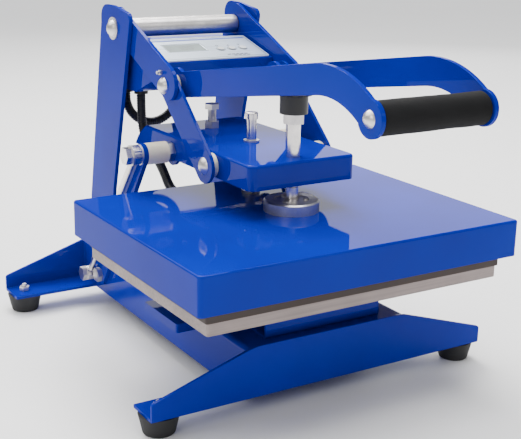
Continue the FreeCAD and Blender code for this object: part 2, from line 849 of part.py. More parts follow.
def tray_bushes():
    """Flanged bearing bushes in the tray's cheeks, running on the rear axle."""
    y, z = rear_pin

    def bush(side):
        x0, x1 = span(side, tray_half - tray_sheet, tray_half)
        f0, f1 = span(side, tray_half - tray_sheet - 2.5, tray_half - tray_sheet)
        body = rod_x(x0, x1, y, z, 10.0).fuse(rod_x(f0, f1, y, z, 13.0))
        return body.cut(rod_x(min(x0, f0) - 1, max(x1, f1) + 1, y, z, rear_axle_radius + running))

    return both_sides(bush)


def screw_nut():
    """Threaded boss under the tray for the pressure screw."""
    top = tray_top - tray_sheet
    body = rod_z(top - 18.0, top, 0, screw_y, 18.0)
    return body.cut(rod_z(top - 19.0, top + 1, 0, screw_y, screw_radius + running))


def guide_bush():
    """Bush in the tray that the guide pin slides through."""
    top = tray_top - tray_sheet
    body = rod_z(top - 10.0, tray_top, 0, guide_y, 8.0)
    body = body.fuse(rod_z(tray_top, tray_top + 2.0, 0, guide_y, 9.5))
    return body.cut(rod_z(top - 11.0, tray_top + 3.0, 0, guide_y, guide_radius + running))


def stop_bolt():
    """Adjusting bolt that limits how far the platen closes."""
    top = tray_top + 30.0
    body = rod_z(tray_top - tray_sheet - 9.0, top - 6.5, 0, stop_y, 5.0)
    return body.fuse(hexagon_z(top - 6.5, top, 0, stop_y, 17.0))


def stop_nuts():
    upper = hexagon_z(tray_top, tray_top + 8.0, 0, stop_y, 17.0)
    lower = hexagon_z(tray_top - tray_sheet - 8.0, tray_top - tray_sheet, 0, stop_y, 17.0)
    hole = rod_z(tray_bottom - 5, tray_top + 10.0, 0, stop_y, 5.0)
    return Part.Compound([upper.cut(hole), lower.cut(hole)])


# ---------------------------------------------------------------- toggle links
def link(side):
    x0, x1 = span(side, link_inner, link_outer)
    body = stadium(knee, link_pin, 20.0, x0, x1)
    body = body.cut(rod_x(x0 - 1, x1 + 1, knee[0], knee[1], knee_radius + running))
    return body.cut(rod_x(x0 - 1, x1 + 1, link_pin[0], link_pin[1], link_bolt_radius))


def link_spacer(side):
    """Nylon sleeve between a link and the tray."""
    y, z = link_pin
    x0, x1 = span(side, tray_half + side_gap, link_inner)
    body = rod_x(x0, x1, y, z, 14.0)
    return body.cut(rod_x(x0 - 1, x1 + 1, y, z, link_bolt_radius))


def link_bolts():
    y, z = link_pin

    def bolt(side):
        x0, x1 = span(side, tray_half + side_gap, link_outer)
        shank = rod_x(x0, x1, y, z, link_bolt_radius)
        return shank.fuse(domed_head(side * link_outer, side, y, z, 10.0, 5.0))

    return both_sides(bolt)


# ---------------------------------------------------------------- handle
def crank_plate(side):
    """Outer plate from the top axle to the knee, standing higher than the line between them."""
    x0, x1 = span(side, crank_inner, crank_outer)
    dy = (knee[0] - top_pin[0]) / crank_length
    dz = (knee[1] - top_pin[1]) / crank_length
    rear = (top_pin[0] + crank_rise * dz, top_pin[1] - crank_rise * dy)
    front = (knee[0] + crank_rise * dz + crank_toe * dy, knee[1] - crank_rise * dy + crank_toe * dz)
    body = stadium(rear, front, crank_radius, x0, x1)
    body = body.fuse(rod_x(x0, x1, top_pin[0], top_pin[1], 20.0)).removeSplitter()
    body = body.cut(rod_x(x0 - 1, x1 + 1, top_pin[0], top_pin[1], 11.0))
    return body.cut(rod_x(x0 - 1, x1 + 1, knee[0], knee[1], knee_radius))


def crank_bushes():
    """Bronze bushes in the crank plates, running on the top axle."""
    y, z = top_pin

    def bush(side):
        x0, x1 = span(side, crank_inner, crank_outer)
        return rod_x(x0, x1, y, z, 11.0).cut(rod_x(x0 - 1, x1 + 1, y, z, top_axle_radius + running))

    return both_sides(bush)


def handle_arm(side):
    """Curved arm: straight from the knee, then one bend down to the grip."""
    x0, x1 = span(side, arm_inner, arm_outer)
    slope = math.radians(arm_slope)
    dy = -math.cos(slope)
    dz = math.sin(slope)
    my = -dz
    mz = dy
    wy = grip_y - knee[0]
    wz = grip_height - knee[1]
    forward = wy * dy + wz * dz
    drop = wy * my + wz * mz
    straight = forward - math.sqrt(2.0 * arm_bend_radius * drop - drop * drop)
    start_y = knee[0] + straight * dy
    start_z = knee[1] + straight * dz
    centre_y = start_y + arm_bend_radius * my
    centre_z = start_z + arm_bend_radius * mz
    half = arm_width / 2.0
    bar = prism_x([
        (knee[0] - half * my, knee[1] - half * mz),
        (start_y - half * my, start_z - half * mz),
        (start_y + half * my, start_z + half * mz),
        (knee[0] + half * my, knee[1] + half * mz),
    ], x0, x1)
    ring = rod_x(x0, x1, centre_y, centre_z, arm_bend_radius + half)
    ring = ring.cut(rod_x(x0 - 1, x1 + 1, centre_y, centre_z, arm_bend_radius - half))
    far = 3.0
    sector = prism_x([
        (centre_y, centre_z),
        (centre_y + far * (start_y - centre_y), centre_z + far * (start_z - centre_z)),
        (centre_y - far * arm_bend_radius, centre_z + far * arm_bend_radius),
        (centre_y + far * (grip_y - centre_y), centre_z + far * (grip_height - centre_z)),
    ], x0, x1)
    body = bar.fuse(ring.common(sector))
    body = body.fuse(rod_x(x0, x1, grip_y, grip_height, 18.0))
    body = body.fuse(rod_x(x0, x1, knee[0], knee[1], 20.0)).removeSplitter()
    body = body.cut(rod_x(x0 - 1, x1 + 1, grip_y, grip_height, grip_bolt_radius))
    return body.cut(rod_x(x0 - 1, x1 + 1, knee[0], knee[1], knee_radius))


def knee_shaft():
    """Headed shaft held in arms and crank plates; the links swing on it."""
    body = rod_x(-crank_outer, crank_outer, knee[0], knee[1], knee_radius)
    for side in (-1, 1):
        body = body.fuse(domed_head(side * crank_outer, side, knee[0], knee[1], 10.0, 6.5))
    return body


def knee_sleeve(side):
    """Nylon sleeve on the knee shaft between an arm and a link."""
    x0, x1 = span(side, link_inner - knee_sleeve_width, link_inner)
    body = rod_x(x0, x1, knee[0], knee[1], 12.0)
    return body.cut(rod_x(x0 - 1, x1 + 1, knee[0], knee[1], knee_radius + running))


def grease_nipples():
    """Small nipples on the outer faces of the crank plates above the knee."""
    uy = (top_pin[0] - knee[0]) / crank_length
    uz = (top_pin[1] - knee[1]) / crank_length
    y = knee[0] + 10.0 * uy - 12.0 * uz
    z = knee[1] + 10.0 * uz + 12.0 * uy

    def nipple(side):
        x0, x1 = span(side, crank_outer, crank_outer + 3.0)
        tip0, tip1 = span(side, crank_outer + 3.0, crank_outer + 6.0)
        return rod_x(x0, x1, y, z, 3.0).fuse(rod_x(tip0, tip1, y, z, 2.0))

    return both_sides(nipple)


def grip_core():
    body = rod_x(-arm_inner, arm_inner, grip_y, grip_height, core_radius)
    for side in (-1, 1):
        x0, x1 = span(side, arm_inner - 21.0, arm_inner + 1.0)
        body = body.cut(rod_x(x0, x1, grip_y, grip_height, grip_bolt_radius))
    return body


def foam_grip():
    half = arm_inner - 0.5
    body = rod_x(-half, half, grip_y, grip_height, grip_radius)
    rims = [e for e in body.Edges if abs(abs(e.CenterOfMass.x) - half) < 0.01 and len(e.Vertexes) == 1]
    body = body.makeFillet(2.0, rims)
    return body.cut(rod_x(-half - 1, half + 1, grip_y, grip_height, core_radius))


def grip_bolts():
    def bolt(side):
        x0, x1 = span(side, arm_inner - 20.0, arm_outer)
        shank = rod_x(x0, x1, grip_y, grip_height, grip_bolt_radius)
        return shank.fuse(domed_head(side * arm_outer, side, grip_y, grip_height, 8.5, 5.0))

    return both_sides(bolt)


# ---------------------------------------------------------------- control box
def box_outline(inset):
    """Side view of the control box, moved inwards by inset."""
    lean = inset / math.cos(slope)
    return [
        (box_front_y + inset, box_front_z - lean),
        (panel_rear_y - inset, panel_rear_z - lean - inset * math.tan(slope)),
        (panel_rear_y - inset, box_shelf_z - inset),
        (box_rear_y - inset, box_shelf_z - inset),
        (box_rear_y - inset, box_bottom_z + inset),
        (box_break_y + inset * 0.2, box_bottom_z + inset),
        (box_front_y + inset, box_front_z - 16.0),
    ]


def on_panel(shape):
    """Tip a shape made flat (x, rearward y, up z) onto the sloping panel."""
    placed = shape.copy()
    placed.rotate(vec(0, 0, 0), vec(1, 0, 0), panel_slope)
    placed.translate(vec(0, box_front_y, box_front_z))
    return placed


def inlet_cut(y0, y1):
    return block(inlet_x - 14.0, inlet_x + 14.0, y0, y1, inlet_z - 10.0, inlet_z + 10.0)


def switch_cut(y0, y1):
    return block(switch_x - 10.0, switch_x + 10.0, y0, y1, inlet_z - 7.0, inlet_z + 7.0)


def control_box():
    """Sheet housing between the uprights, with its top open under the panel."""
    half = box_width / 2.0
    body = prism_x(box_outline(0.0), -half, half)
    body = body.cut(prism_x(box_outline(box_wall), -half + box_wall, half - box_wall))
    window = block(-half + 8.0, half - 8.0, 6.0, panel_length - 6.0, -6.0, 6.0)
    body = body.cut(on_panel(window))
    body = body.cut(inlet_cut(box_rear_y - 3, box_rear_y + 1))
    body = body.cut(switch_cut(box_rear_y - 3, box_rear_y + 1))
    for x, y in box_gland_places():
        body = body.cut(rod_z(box_bottom_z - 1, box_bottom_z + 3, x, y, conduit_radius - 1.0))
    return body


def control_panel():
    """Fascia plate that closes the top, with holes for display and buttons."""
    half = box_width / 2.0 - 2.0
    body = block(-half, half, 2.0, panel_length - 2.0, 0.0, panel_thickness)
    body = fillet_where(body, 3.0, upright_edges)
    body = body.cut(block(display_x - display_width / 2.0, display_x + display_width / 2.0,
                          display_y - display_depth / 2.0, display_y + display_depth / 2.0, -1.0, 5.0))
    for x in button_places.values():
        body = body.cut(rod_z(-1.0, 5.0, x, button_y, button_radius + hole_gap))
    return on_panel(body)


def display_window():
    gap = 0.2
    body = block(display_x - display_width / 2.0 + gap, display_x + display_width / 2.0 - gap,
                 display_y - display_depth / 2.0 + gap, display_y + display_depth / 2.0 - gap,
                 -7.5, panel_thickness - 0.3)
    return on_panel(body)


def push_button(x):
    """Key cap with a collar below the panel that keeps it in its hole."""
    cap = rod_z(-1.4, panel_thickness + 1.6, x, button_y, button_radius)
    rim = [e for e in cap.Edges if abs(e.CenterOfMass.z - panel_thickness - 1.6) < 0.01
           and len(e.Vertexes) == 1]
    cap = cap.makeFillet(0.6, rim)
    return on_panel(cap.fuse(rod_z(-2.4, -1.4 + 1.1, x, button_y, button_radius + 1.2)))


def control_board():
    """Circuit board under the panel, with its key switches, relay and transformer."""
    board = block(-62.0, 66.0, 9.0, 66.0, -9.5, -7.9)
    for x in button_places.values():
        board = board.fuse(block(x - 3.0, x + 3.0, button_y - 3.0, button_y + 3.0, -7.9, -4.2))
    board = board.fuse(block(-55.0, -35.0, 12.0, 27.0, -7.9, -5.0))
    board = board.fuse(block(20.0, 50.0, 42.0, 62.0, -24.0, -9.5))
    board = board.fuse(block(-45.0, -20.0, 44.0, 62.0, -22.0, -9.5))
    return on_panel(board)


def board_posts():
    """Posts that carry the board from under the fascia plate."""
    posts = [rod_z(-7.9, 0.0, x, y, 2.5) for x in (-58.0, 62.0) for y in (13.0, 62.0)]
    return Part.Compound([on_panel(post) for post in posts])


def power_inlet():
    """Panel inlet with three blades and a flange on the cross plate."""
    face = box_rear_y + frame_sheet
    body = block(inlet_x - 13.8, inlet_x + 13.8, face - 22.0, face, inlet_z - 9.8, inlet_z + 9.8)
    flange = block(inlet_x - 17.0, inlet_x + 17.0, face, face + 2.5, inlet_z - 13.0, inlet_z + 13.0)
    pocket = block(inlet_x - 11.5, inlet_x + 11.5, face - 16.0, face + 3.0, inlet_z - 7.5, inlet_z + 7.5)
    body = body.fuse(flange).cut(pocket)
    for dx, dz in ((-7.0, 0.0), (7.0, 0.0), (0.0, 3.5)):
        body = body.fuse(block(inlet_x + dx - 1.0, inlet_x + dx + 1.0, face - 16.5, face - 8.0,
                               inlet_z + dz - 2.0, inlet_z + dz + 2.0))
    return body


def switch_frame():
    face = box_rear_y + frame_sheet
    body = block(switch_x - 9.8, switch_x + 9.8, face - 16.0, face, inlet_z - 6.8, inlet_z + 6.8)
    flange = block(switch_x - 12.0, switch_x + 12.0, face, face + 2.0, inlet_z - 9.0, inlet_z + 9.0)
    pocket = block(switch_x - 8.0, switch_x + 8.0, face - 9.0, face + 3.0, inlet_z - 5.2, inlet_z + 5.2)
    return body.fuse(flange).cut(pocket)


def power_switch():
    """Rocker with a shallow V face on a round belly, tipped to its off side."""
    face = box_rear_y + frame_sheet
    pivot_y = face - 1.0
    belly = rod_z(inlet_z - 4.8, inlet_z + 4.8, switch_x, pivot_y, rocker_depth)
    keep = block(switch_x - 7.2, switch_x + 7.2, pivot_y - rocker_depth, face + 2.6,
                 inlet_z - 4.8, inlet_z + 4.8)
    body = belly.common(keep)
    notch = Part.Face(Part.makePolygon([
        vec(switch_x - 8.0, face + 3.6, inlet_z - 6.0),
        vec(switch_x, face + 0.8, inlet_z - 6.0),
        vec(switch_x + 8.0, face + 3.6, inlet_z - 6.0),
        vec(switch_x - 8.0, face + 3.6, inlet_z - 6.0),
    ])).extrude(vec(0, 0, 12.0))
    body = body.cut(notch)
    body.rotate(vec(switch_x, pivot_y, inlet_z), vec(0, 0, 1), -6.0)
    return body


def box_gland_places():
    """Where conduits leave the underside of the control box."""
    return [(gland_x, box_gland_y)] + [(x, loop_y) for x in loop_glands]


def box_glands():
    solids = []
    for x, y in box_gland_places():
        body = rod_z(box_bottom_z - gland_length, box_bottom_z, x, y, conduit_radius + 2.5)
        body = body.fuse(rod_z(box_bottom_z, box_bottom_z + 4.0, x, y, conduit_radius - 1.0))
        solids.append(body.cut(rod_z(box_bottom_z, box_bottom_z + 5.0, x, y, conduit_radius - 2.5)))
    return Part.Compound(solids)


def conduit_tube(route, radius):
    """Tube along straight runs joined by tangent arcs; each arc takes 0.45 of the shorter run."""
    edges = []
    start = route[0]
    for before, corner, after in zip(route, route[1:], route[2:]):
        back = (before - corner).normalize()
        ahead = (after - corner).normalize()
        cut = 0.45 * min((before - corner).Length, (after - corner).Length)
        half_turn = (math.pi - back.getAngle(ahead)) / 2.0
        arc_radius = cut / math.tan(half_turn)
        middle = (back + ahead).normalize()
        enter = corner + back * cut
        leave = corner + ahead * cut
        apex = corner + middle * (arc_radius / math.cos(half_turn) - arc_radius)
        edges.append(Part.LineSegment(start, enter).toShape())
        edges.append(Part.Arc(enter, apex, leave).toShape())
        start = leave
        print("conduit bend radius", round(arc_radius, 1))
    edges.append(Part.LineSegment(start, route[-1]).toShape())
    path = Part.Wire(edges)
    profile = Part.Wire([Part.makeCircle(radius, route[0], route[1] - route[0])])
    tube = path.makePipeShell([profile], True, False)
    print("conduit volume ratio", round(tube.Volume / (math.pi * radius ** 2 * path.Length), 4))
    print("conduit length", round(path.Length, 1))
    return tube


def heater_conduit():
    """Corrugated conduit from the control box, behind the tray, to the platen cover."""
    rear = platen_y + cover_depth / 2.0
    top = box_bottom_z - gland_length
    end = rear + gland_length
    route = [
        vec(gland_x, box_gland_y, top),
        vec(gland_x, box_gland_y, top - 26.0),
        vec(gland_x + 0.5, box_gland_y - 4.0, top - 51.0),
        vec(gland_x + 2.0, box_gland_y - 20.0, top - 70.0),
        vec(gland_x + 3.0, end + 68.0, gland_z + 31.0),
        vec(gland_x + 2.0, end + 47.0, gland_z + 17.0),
        vec(gland_x + 0.5, end + 33.0, gland_z + 5.5),
        vec(gland_x, end + 17.0, gland_z),
        vec(gland_x, end, gland_z),
    ]
    return conduit_tube(route, conduit_radius - 0.5)


def wiring_loop():
    """Short conduit that hangs in a loop under the control box, from one gland to another."""
    left, right = loop_glands
    z = box_bottom_z - gland_length
    radius = (right - left) / 2.0
    middle = (left + right) / 2.0
    straight = 6.0
    start = vec(left, loop_y, z)
    enter = vec(left, loop_y, z - straight)
    low = vec(middle, loop_y, z - straight - radius)
    leave = vec(right, loop_y, z - straight)
    end = vec(right, loop_y, z)
    path = Part.Wire([
        Part.LineSegment(start, enter).toShape(),
        Part.Arc(enter, low, leave).toShape(),
        Part.LineSegment(leave, end).toShape(),
    ])
    profile = Part.Wire([Part.makeCircle(conduit_radius - 0.5, start, vec(0, 0, -1))])
    return path.makePipeShell([profile], True, False)


# ---------------------------------------------------------------- write the parts
def left_right(name, maker):
    save("left_" + name, maker(-1))
    save("right_" + name, maker(1))


def main():
    os.makedirs("parts", exist_ok=True)
    centres = rubber_centres()
    save("front_foot", foot(-1))
    save("rear_foot", foot(1))
    save("base_channel", base_channel())
    save("rubber_feet", Part.Compound([rubber_foot(x, y) for x, y in centres]))
    fasteners = [foot_screw(x, y) for x, y in centres] + [foot_nut(x, y) for x, y in centres]
    fasteners += leg_bolts().Solids + table_screws().Solids
    fasteners += top_washers().Solids + axle_washers().Solids + rear_lock_nuts().Solids
    save("frame_bolts", Part.Compound(fasteners))
    left_right("upright", upright)
    save("upright_brace", upright_brace())
    save("top_axle", top_axle())
    save("top_spacer_tube", top_spacer_tube())
    save("support_legs", both_sides(leg))
    save("rear_axle", rear_axle())
    save("rear_spacers", both_sides(rear_spacer))
    save("tie_rods", both_sides(tie_rod))
    save("table_risers", Part.Compound([table_riser(-1), table_riser(1), table_cross_member()]))
    save("lower_table", lower_table())
    save("silicone_pad", silicone_pad())
    save("heat_platen", heat_platen())
    save("heater_and_thermostat", Part.Compound([heating_element(), thermostat()]))
    save("insulation_board", insulation_board())
    save("platen_pillars", platen_pillars())
    save("platen_cover", platen_cover())
    save("swivel_cup", swivel_cup())
    save("cup_retainer", Part.Compound([cup_retainer()] + cup_screws().Solids))
    save("guide_pin", guide_pin())
    save("platen_gland", platen_gland())
    save("pressure_screw", pressure_screw())
    save("screw_collar", screw_collar())
    save("pressure_knob", pressure_knob())
    save("rocker_tray", rocker_tray())
    save("tray_bushes", tray_bushes())
    save("screw_nut", screw_nut())
    save("guide_bush", guide_bush())
    save("stop_bolt", Part.Compound([stop_bolt()] + stop_nuts().Solids))
    left_right("link", link)
    sleeves = [maker(side) for maker in (link_spacer, knee_sleeve) for side in (-1, 1)]
    save("link_spacers", Part.Compound(sleeves))
    save("link_bolts", link_bolts())
    left_right("crank_plate", crank_plate)
    save("crank_bushes", crank_bushes())
    left_right("handle_arm", handle_arm)
    save("knee_shaft", knee_shaft())
    save("grease_nipples", grease_nipples())
    save("grip_core", grip_core())
    save("foam_grip", foam_grip())
    save("grip_bolts", grip_bolts())
    save("control_box", control_box())
    save("control_panel", control_panel())
    save("display_window", display_window())
    for name, x in button_places.items():
        save(name, push_button(x))
    save("control_board", Part.Compound([control_board()] + board_posts().Solids))
    save("inlet_and_switch_frame", Part.Compound([power_inlet(), switch_frame()]))
    save("power_switch", power_switch())
    save("box_glands", box_glands())
    save("heater_conduit", heater_conduit())
    save("wiring_loop", wiring_loop())


main()
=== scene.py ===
import json
import math

import bpy
from mathutils import Matrix, Vector, noise


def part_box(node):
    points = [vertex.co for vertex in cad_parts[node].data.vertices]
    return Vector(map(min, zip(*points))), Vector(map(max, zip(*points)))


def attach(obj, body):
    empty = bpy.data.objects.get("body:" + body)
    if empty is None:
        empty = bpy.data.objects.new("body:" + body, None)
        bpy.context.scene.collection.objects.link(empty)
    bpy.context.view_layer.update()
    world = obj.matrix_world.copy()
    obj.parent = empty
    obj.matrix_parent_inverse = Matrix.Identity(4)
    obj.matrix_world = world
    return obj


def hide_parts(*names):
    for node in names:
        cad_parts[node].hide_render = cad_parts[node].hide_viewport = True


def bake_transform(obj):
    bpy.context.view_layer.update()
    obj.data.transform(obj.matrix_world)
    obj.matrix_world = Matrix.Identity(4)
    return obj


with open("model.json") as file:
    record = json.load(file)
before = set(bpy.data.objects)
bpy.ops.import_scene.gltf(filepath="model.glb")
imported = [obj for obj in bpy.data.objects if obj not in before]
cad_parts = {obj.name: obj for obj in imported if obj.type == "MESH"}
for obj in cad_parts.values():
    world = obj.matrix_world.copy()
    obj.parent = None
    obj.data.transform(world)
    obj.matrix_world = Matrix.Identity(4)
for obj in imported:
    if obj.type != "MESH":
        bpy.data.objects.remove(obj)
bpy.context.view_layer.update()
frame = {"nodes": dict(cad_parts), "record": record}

# Looks for the heat press. Metres, in the CAD's own frame: Z up, operator on the -Y side.
nodes = frame["nodes"]
joints = {joint["name"]: joint for joint in frame["record"]["behaviour"]["joints"]}

MM = 0.001


# ---------------------------------------------------------------- node graph helper
class Socket:
    """A shader output that adds and multiplies like a number."""

    def __init__(self, graph, output):
        self.graph = graph
        self.output = output

    def _math(self, operation, *values):
        return self.graph.node("ShaderNodeMath", values, operation=operation)

    def __add__(self, other):
        return self._math("ADD", self, other)

    def __mul__(self, other):
        return self._math("MULTIPLY", self, other)

    __radd__ = __add__
    __rmul__ = __mul__

    def ramp(self, low, high, start=0.0, end=1.0):
        """Map start..end of this value to low..high, clamped."""
        return self.graph.node("ShaderNodeMapRange", (self, start, end, low, high))

    def mix(self, first, second):
        """Colour between two, by this value."""
        inputs = {"Factor": self, "A": first, "B": second}
        return self.graph.node("ShaderNodeMix", inputs, data_type="RGBA")


class Graph:
    """One material's node tree."""

    def __init__(self, name):
        self.material = bpy.data.materials.new(name)
        self.material.use_nodes = True
        self.tree = self.material.node_tree
        self.tree.nodes.clear()

    def _input(self, made, key, value):
        if isinstance(key, int):
            socket = made.inputs[key]
        else:
            same = [s for s in made.inputs if s.name == key and s.enabled]
            socket = same[0]
        if isinstance(value, Socket):
            self.tree.links.new(value.output, socket)
        else:
            socket.default_value = value

    def node(self, kind, inputs=(), output=None, **settings):
        made = self.tree.nodes.new(kind)
        for key, value in settings.items():
            setattr(made, key, value)
        pairs = inputs.items() if isinstance(inputs, dict) else enumerate(inputs)
        for key, value in pairs:
            self._input(made, key, value)
        if output is None:
            return Socket(self, [s for s in made.outputs if s.enabled][0]) if made.outputs else made
        return Socket(self, made.outputs[output])

    def position(self, scale=(1, 1, 1), turn=(0, 0, 0)):
        """Object coordinates, stretched by scale and turned."""
        point = self.node("ShaderNodeTexCoord", output="Object")
        return self.node("ShaderNodeMapping", {"Vector": point, "Scale": scale, "Rotation": turn})

    def noise(self, scale, detail=3.0, roughness=0.5, point=None):
        point = point or self.position()
        inputs = {"Vector": point, "Scale": scale, "Detail": detail, "Roughness": roughness}
        return self.node("ShaderNodeTexNoise", inputs, output="Fac")

    def cells(self, scale):
        inputs = {"Vector": self.position(), "Scale": scale}
        return self.node("ShaderNodeTexVoronoi", inputs, output="Distance")

    def bump(self, height, distance, strength):
        return self.node("ShaderNodeBump", {"Height": height, "Distance": distance, "Strength": strength})

    def finish(self, **values):
        names = {key.replace("_", " "): value for key, value in values.items()}
        surface = self.node("ShaderNodeBsdfPrincipled", names)
        self.node("ShaderNodeOutputMaterial", {"Surface": surface})
        return self.material


def rgb(red, green, blue):
    return (red, green, blue, 1.0)


def shaded(colour, factor):
    """The same colour, darker by a factor."""
    return rgb(*(factor * channel for channel in colour[:3]))


# ---------------------------------------------------------------- materials
def powder_coat(name, colour, deep):
    """Glossy powder coat: fine orange peel, faint cloudiness and handling smears."""
    graph = Graph(name)
    clouds = graph.noise(scale=9.0, detail=4.0)
    peel = graph.noise(scale=420.0, detail=2.0)
    swell = graph.noise(scale=60.0, detail=2.0)
    smear = graph.noise(scale=28.0, detail=6.0, roughness=0.65)
    height = peel * 0.3 + swell * 0.7
    return graph.finish(
        Base_Color=clouds.ramp(0.0, 1.0, start=0.35, end=0.65).mix(colour, deep),
        Roughness=smear.ramp(0.22, 0.34, start=0.3, end=0.7),
        Specular_IOR_Level=0.0,
        Coat_Weight=0.38,
        Coat_Roughness=0.045,
        Coat_IOR=1.36,
        Normal=graph.bump(height, distance=0.05 * MM, strength=0.5),
    )


def plated_steel(name, colour, low, high, scratch=0.4):
    """Plated steel with cloudy patches and fine handling scratches; low..high is its roughness."""
    graph = Graph(name)
    patches = graph.noise(scale=60.0, detail=5.0, roughness=0.6)
    scratched = graph.position(scale=(1.0, 1.0, 22.0), turn=(0.5, 0.3, 0.0))
    lines = graph.noise(scale=90.0, detail=2.0, point=scratched)
    grain = graph.noise(scale=1400.0, detail=2.0)
    return graph.finish(
        Base_Color=patches.ramp(0.0, 1.0, start=0.3, end=0.7).mix(colour, shaded(colour, 0.72)),
        Metallic=1.0,
        Roughness=(patches * 0.6 + lines * 0.4).ramp(low, high, start=0.3, end=0.7),
        Normal=graph.bump(lines * scratch + grain * 0.3, distance=0.02 * MM, strength=0.6),
    )


def milled_aluminium(name, colour):
    """Sawn and milled plate: long fine tool lines along X and dull stains."""
    graph = Graph(name)
    lines = graph.noise(scale=300.0, detail=3.0, roughness=0.6, point=graph.position(scale=(0.02, 1.0, 1.0)))
    coarse = graph.noise(scale=55.0, detail=2.0, point=graph.position(scale=(0.05, 1.0, 1.0)))
    stain = graph.noise(scale=14.0, detail=5.0, roughness=0.6)
    milled = (lines * 0.6 + coarse * 0.4).ramp(0.0, 1.0, start=0.3, end=0.7).mix(colour, shaded(colour, 0.7))
    return graph.finish(
        Base_Color=stain.ramp(0.0, 0.45, start=0.45, end=0.7).mix(milled, rgb(0.22, 0.185, 0.18)),
        Metallic=0.85,
        Roughness=(lines * 0.5 + stain * 0.5).ramp(0.38, 0.58, start=0.3, end=0.7),
        Normal=graph.bump(lines, distance=0.05 * MM, strength=0.5),
    )


def moulded(name, colour, roughness, grain_scale=900.0, depth=0.03 * MM, coat=0.0):
    """Moulded plastic or rubber with a fine grain and rubbed patches."""
    graph = Graph(name)
    grain = graph.noise(scale=grain_scale)
    rub = graph.noise(scale=35.0, detail=5.0, roughness=0.6)
    lighter = rgb(*(min(1.0, 1.35 * channel + 0.004) for channel in colour[:3]))
    spread = 0.06
    return graph.finish(
        Base_Color=rub.ramp(0.0, 0.6, start=0.4, end=0.75).mix(colour, lighter),
        Roughness=rub.ramp(roughness - spread, roughness + spread, start=0.3, end=0.7),
        Coat_Weight=coat,
        Normal=graph.bump(grain, distance=depth, strength=0.6),
    )


def foam(name):
    """Closed-cell foam rubber: pits of two sizes and pale rubbed dust."""
    graph = Graph(name)
    pits = graph.cells(scale=750.0).ramp(0.0, 1.0, start=0.0, end=0.5)
    pores = graph.cells(scale=2100.0).ramp(0.0, 1.0, start=0.0, end=0.6)
    rub = graph.noise(scale=22.0, detail=6.0, roughness=0.65)
    black, dusty = rgb(0.004, 0.004, 0.0045), rgb(0.012, 0.012, 0.013)
    return graph.finish(
        Base_Color=rub.ramp(0.0, 1.0, start=0.35, end=0.8).mix(black, dusty),
        Roughness=rub.ramp(0.78, 0.95, start=0.3, end=0.7),
        Specular_IOR_Level=0.2,
        Normal=graph.bump(pits * 0.7 + pores * 0.3, distance=0.25 * MM, strength=0.8),
    )


def nylon(name):
    """Cream turned nylon with lathe rings and slight soiling."""
    graph = Graph(name)
    rings = graph.noise(scale=500.0, detail=1.0, point=graph.position(scale=(1.0, 0.03, 0.03)))
    soil = graph.noise(scale=60.0, detail=5.0, roughness=0.6)
    cream, soiled = rgb(0.95, 0.87, 0.68), rgb(0.78, 0.67, 0.48)
    return graph.finish(
        Base_Color=soil.ramp(0.0, 0.7, start=0.42, end=0.75).mix(cream, soiled),
        Roughness=soil.ramp(0.34, 0.48, start=0.3, end=0.7),
        Subsurface_Weight=0.12,
        Subsurface_Scale=2.0 * MM,
        Normal=graph.bump(rings, distance=0.05 * MM, strength=0.5),
    )


def silicone(name):
    """Brown-black silicone sheet with a cut edge."""
    graph = Graph(name)
    cut = graph.noise(scale=240.0, detail=4.0, roughness=0.6, point=graph.position(scale=(0.15, 0.15, 1.0)))
    speck = graph.cells(scale=700.0)
    dark, worn = rgb(0.030, 0.019, 0.016), rgb(0.055, 0.036, 0.030)
    return graph.finish(
        Base_Color=cut.ramp(0.0, 1.0, start=0.3, end=0.7).mix(dark, worn),
        Roughness=cut.ramp(0.6, 0.8, start=0.3, end=0.7),
        Normal=graph.bump(cut * 0.6 + speck * 0.4, distance=0.12 * MM, strength=0.6),
    )


def panel_film(name):
    """Brushed silver film of the fascia, clouded a little darker."""
    graph = Graph(name)
    lines = graph.noise(scale=400.0, detail=2.0, point=graph.position(scale=(0.02, 1.0, 1.0)))
    clouds = graph.noise(scale=25.0, detail=4.0)
    silver, dim = rgb(0.56, 0.65, 0.76), rgb(0.48, 0.57, 0.69)
    return graph.finish(
        Base_Color=clouds.ramp(0.0, 1.0, start=0.3, end=0.7).mix(silver, dim),
        Metallic=0.35,
        Roughness=lines.ramp(0.26, 0.38, start=0.3, end=0.7),
        Coat_Weight=0.6,
        Coat_Roughness=0.12,
        Normal=graph.bump(lines, distance=0.02 * MM, strength=0.4),
    )


def mineral(name):
    """Pressed mineral fibre board."""
    graph = Graph(name)
    laid = graph.position(scale=(1.0, 0.2, 1.0), turn=(0.0, 0.0, 0.6))
    fibre = graph.noise(scale=260.0, detail=5.0, roughness=0.7, point=laid)
    pale, shadow = rgb(0.75, 0.70, 0.58), rgb(0.55, 0.50, 0.40)
    return graph.finish(
        Base_Color=fibre.ramp(0.0, 1.0, start=0.3, end=0.7).mix(pale, shadow),
        Roughness=0.92,
        Normal=graph.bump(fibre, distance=0.3 * MM, strength=0.8),
    )


